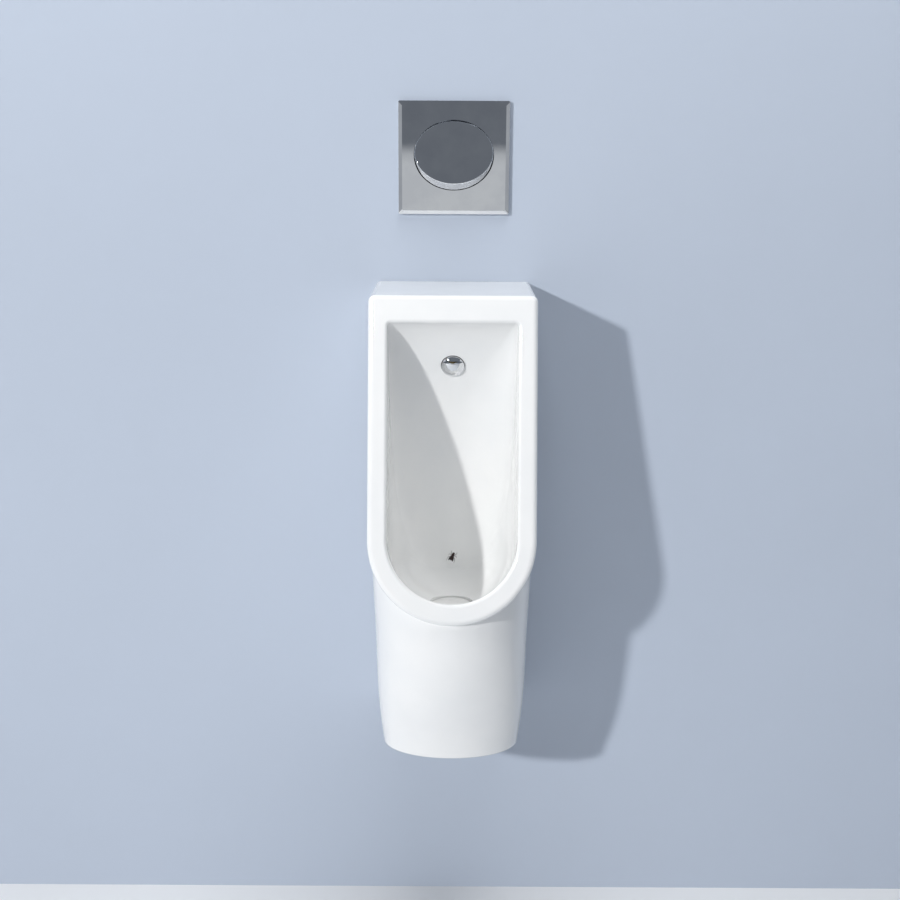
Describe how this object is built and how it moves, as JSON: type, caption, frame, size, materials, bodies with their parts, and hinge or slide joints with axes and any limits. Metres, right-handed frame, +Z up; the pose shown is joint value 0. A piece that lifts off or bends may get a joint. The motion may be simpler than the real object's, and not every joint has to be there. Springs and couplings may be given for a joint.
{
  "type": "wall-hung urinal",
  "caption": "Slim wall-hung white ceramic urinal with open sloping bowl, chrome spray head, drain strainer, bottle trap and a concealed in-wall flush valve worked by a tilted push button.",
  "frame": {"origin": "centre of the four wall screws, on the finished wall's surface", "axes": "+Z up, +Y into the wall, -Y towards the user, +X to the user's right"},
  "size_m": [0.245, 0.3948, 0.992],
  "materials": {
    "glaze": "glossy white glaze",
    "chrome": "mirror-polished plating",
    "brass": "as cast and machined",
    "black_rubber": "matt moulded",
    "white_plastic": "moulded",
    "grey_plastic": "extruded",
    "box_plastic": "moulded",
    "cartridge_plastic": "moulded",
    "zinc_steel": "zinc plated",
    "stainless": "drawn and ground"
  },
  "bodies": {
    "urinal": {"ceramic_body": "glaze", "spreader_cap": "chrome", "spreader_tube": "brass", "spreader_grommet": "black_rubber", "trap_inlet_seal": "black_rubber", "trap_body": "white_plastic", "trap_dip_tube": "white_plastic", "trap_cup": "white_plastic", "trap_cup_seal": "black_rubber", "waste_seal": "black_rubber", "waste_nut": "white_plastic", "waste_pipe": "grey_plastic", "hanger_brackets": "zinc_steel", "hanger_washers": "zinc_steel", "hanger_screws": "zinc_steel", "stud_sleeves": "grey_plastic", "stud_washers": "zinc_steel", "stud_nuts": "zinc_steel", "lower_studs": "zinc_steel", "nut_caps": "white_plastic", "flush_plate": "chrome", "button_spring": "stainless", "mounting_frame": "white_plastic", "frame_screws": "zinc_steel", "wall_box": "box_plastic", "supply_grommet": "black_rubber", "pipe_grommet": "black_rubber", "valve_body": "brass", "valve_screws": "zinc_steel", "valve_cartridge": "cartridge_plastic", "cartridge_ring": "black_rubber", "spool_spring": "stainless", "outlet_seal": "black_rubber", "outlet_nut": "brass", "flush_pipe": "grey_plastic", "inlet_seal": "black_rubber"},
    "button": {"flush_button": "chrome", "button_slider": "cartridge_plastic", "slider_clip": "stainless", "push_rod": "stainless"},
    "spool": {"valve_spool": "stainless", "spool_rings": "black_rubber"},
    "stop": {"stop_ball": "brass", "stop_spindle": "brass", "spindle_ring": "black_rubber"},
    "strainer": {"drain_cover": "white_plastic"}
  },
  "joints": [
    {"name": "button_press", "type": "slide", "parent": "urinal", "child": "button", "axis": [0, 1, 0], "range_m": [0, 0.006], "stiffness_N_per_m": 800, "springref_m": -0.005, "deforming": ["button_spring"]},
    {"name": "spool_slide", "type": "slide", "parent": "urinal", "child": "spool", "axis": [0, 1, 0], "range_m": [0, 0.006], "stiffness_N_per_m": 300, "springref_m": -0.004, "deforming": ["spool_spring"]},
    {"name": "stop_turn", "type": "hinge", "parent": "urinal", "child": "stop", "pos_m": [0, 0.056, 0.578], "axis": [0, 1, 0], "range_deg": [0, 90]},
    {"name": "strainer_lift", "type": "slide", "parent": "urinal", "child": "strainer", "axis": [0, 0, 1], "range_m": [0, 0.1]}
  ],
  "couplings": [
    {"joint": "spool_slide", "follows": "button_press", "ratio": 1}
  ]
}
